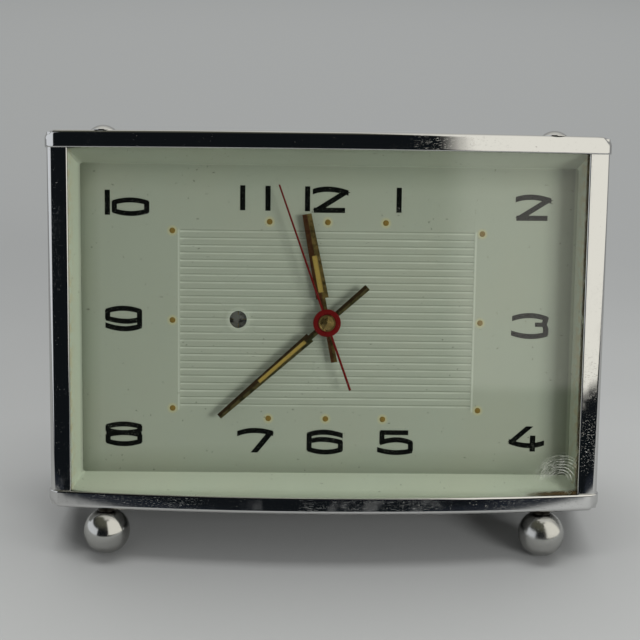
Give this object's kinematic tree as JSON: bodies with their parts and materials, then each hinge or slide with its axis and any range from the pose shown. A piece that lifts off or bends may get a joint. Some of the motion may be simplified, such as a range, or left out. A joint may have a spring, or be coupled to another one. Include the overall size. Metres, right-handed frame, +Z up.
{
  "type": "table clock",
  "caption": "Mid-century wind-up table clock: chromed case leaning on two ball feet, bowed glass, ribbed pale green dial, working going train.",
  "frame": {"origin": "on the table, under the middle of the clock's outer box", "axes": "+X to the clock's right as a reader sees it, +Y from the front to the back, +Z up"},
  "size_m": [0.185, 0.0986, 0.137],
  "materials": {
    "chrome": "polished chrome plate, lightly worn",
    "glass": "clear curved glass",
    "dial_paint": "pale green satin lacquer, faded",
    "hand_brass": "darkened folded brass",
    "lume": "dry yellow-brown luminous paste",
    "seconds_red": "dull red paint",
    "bright_brass": "turned brass",
    "silver_disc": "satin silvered metal",
    "zinc_plate": "zinc plated sheet",
    "cover_paint": "dark satin lacquer",
    "brass": "rolled clock brass",
    "steel": "turned and hardened steel"
  },
  "bodies": {
    "case": {"top_cap": "chrome", "bottom_cap": "chrome", "case_body": "chrome", "tapped_plates": "zinc_plate", "ball_feet": "chrome", "cap_screws": "chrome", "front_glass": "glass", "dial_tray": "dial_paint", "tray_clips": "zinc_plate", "back_cover": "cover_paint", "cover_screws": "steel", "front_plate": "brass", "rear_plate": "brass", "pillars": "steel", "pillar_nuts": "steel", "dial_posts": "zinc_plate", "centre_bush": "brass", "minute_wheel_stud": "steel", "pallet_bridge": "brass", "hairspring": "steel", "hairspring_stud": "steel", "click_stud": "steel"},
    "minute": {"centre_arbor": "steel", "centre_wheel": "brass", "cannon_pinion": "brass", "minute_hand": "hand_brass", "minute_lume": "lume"},
    "motion": {"minute_wheel": "brass"},
    "hour": {"hour_wheel": "brass", "hour_hand": "hand_brass", "hour_lume": "lume"},
    "setting": {"setting_arbor": "steel", "setting_knob": "steel"},
    "third": {"third_arbor": "steel", "third_wheel": "brass"},
    "seconds": {"seconds_arbor": "steel", "seconds_wheel": "brass", "second_hand": "seconds_red", "second_boss": "bright_brass"},
    "escape": {"escape_arbor": "steel", "escape_wheel": "brass"},
    "pallet": {"pallet_lever": "brass"},
    "balance": {"balance_staff": "steel", "balance_wheel": "brass", "indicator_disc": "silver_disc"},
    "regulator": {"regulator": "brass"},
    "barrel": {"barrel": "brass", "barrel_cover": "brass", "mainspring": "steel"},
    "winding": {"winding_arbor": "steel", "ratchet_wheel": "steel", "winding_key": "brass"},
    "click": {"click": "steel"}
  },
  "joints": [
    {"name": "minute_turn", "type": "hinge", "parent": "case", "child": "minute", "pos_m": [0, -0.00123, 0.06871], "axis": [0, 0.9617, -0.2742], "continuous": true},
    {"name": "motion_turn", "type": "hinge", "parent": "case", "child": "motion", "pos_m": [0.00939, -0.00918, 0.0689], "axis": [0, 0.9617, -0.2742], "continuous": true},
    {"name": "hour_turn", "type": "hinge", "parent": "case", "child": "hour", "pos_m": [0, -0.01046, 0.07134], "axis": [0, 0.9617, -0.2742], "continuous": true},
    {"name": "setting_turn", "type": "hinge", "parent": "case", "child": "setting", "pos_m": [0.01808, -0.00807, 0.07283], "axis": [0, 0.9617, -0.2742], "continuous": true},
    {"name": "third_turn", "type": "hinge", "parent": "case", "child": "third", "pos_m": [0.00554, 0.00544, 0.08264], "axis": [0, 0.9617, -0.2742], "continuous": true},
    {"name": "seconds_turn", "type": "hinge", "parent": "case", "child": "seconds", "pos_m": [0, 0.00396, 0.06723], "axis": [0, 0.9617, -0.2742], "continuous": true},
    {"name": "escape_turn", "type": "hinge", "parent": "case", "child": "escape", "pos_m": [-0.0143, 0.00495, 0.05904], "axis": [0, 0.9617, -0.2742], "continuous": true},
    {"name": "barrel_turn", "type": "hinge", "parent": "case", "child": "barrel", "pos_m": [0.005, -0.01151, 0.04215], "axis": [0, 0.9617, -0.2742], "continuous": true},
    {"name": "pallet_swing", "type": "hinge", "parent": "case", "child": "pallet", "pos_m": [-0.0225, 0.00725, 0.06273], "axis": [0, 0.9617, -0.2742], "range_deg": [-5, 5]},
    {"name": "balance_swing", "type": "hinge", "parent": "case", "child": "balance", "pos_m": [-0.03, -0.00055, 0.06893], "axis": [0, 0.9617, -0.2742], "range_deg": [-135, 135], "stiffness_Nm_per_rad": 0.000047},
    {"name": "regulator_swing", "type": "hinge", "parent": "case", "child": "regulator", "pos_m": [-0.03, 0.01292, 0.06509], "axis": [0, 0.9617, -0.2742], "range_deg": [-22, 22]},
    {"name": "winding_turn", "type": "hinge", "parent": "case", "child": "winding", "pos_m": [0.005, 0.00503, 0.03743], "axis": [0, -0.9617, 0.2742], "range_deg": [0, 1980]},
    {"name": "click_swing", "type": "hinge", "parent": "case", "child": "click", "pos_m": [0.01345, 0.00723, 0.04513], "axis": [0, -0.9617, 0.2742], "range_deg": [0, 8]}
  ],
  "couplings": [
    {"joint": "motion_turn", "follows": "minute_turn", "ratio": -0.33333},
    {"joint": "hour_turn", "follows": "minute_turn", "ratio": 0.083333},
    {"joint": "setting_turn", "follows": "minute_turn", "ratio": 1},
    {"joint": "third_turn", "follows": "minute_turn", "ratio": -8},
    {"joint": "seconds_turn", "follows": "minute_turn", "ratio": 60},
    {"joint": "escape_turn", "follows": "minute_turn", "ratio": -480},
    {"joint": "barrel_turn", "follows": "minute_turn", "ratio": -0.14286}
  ]
}
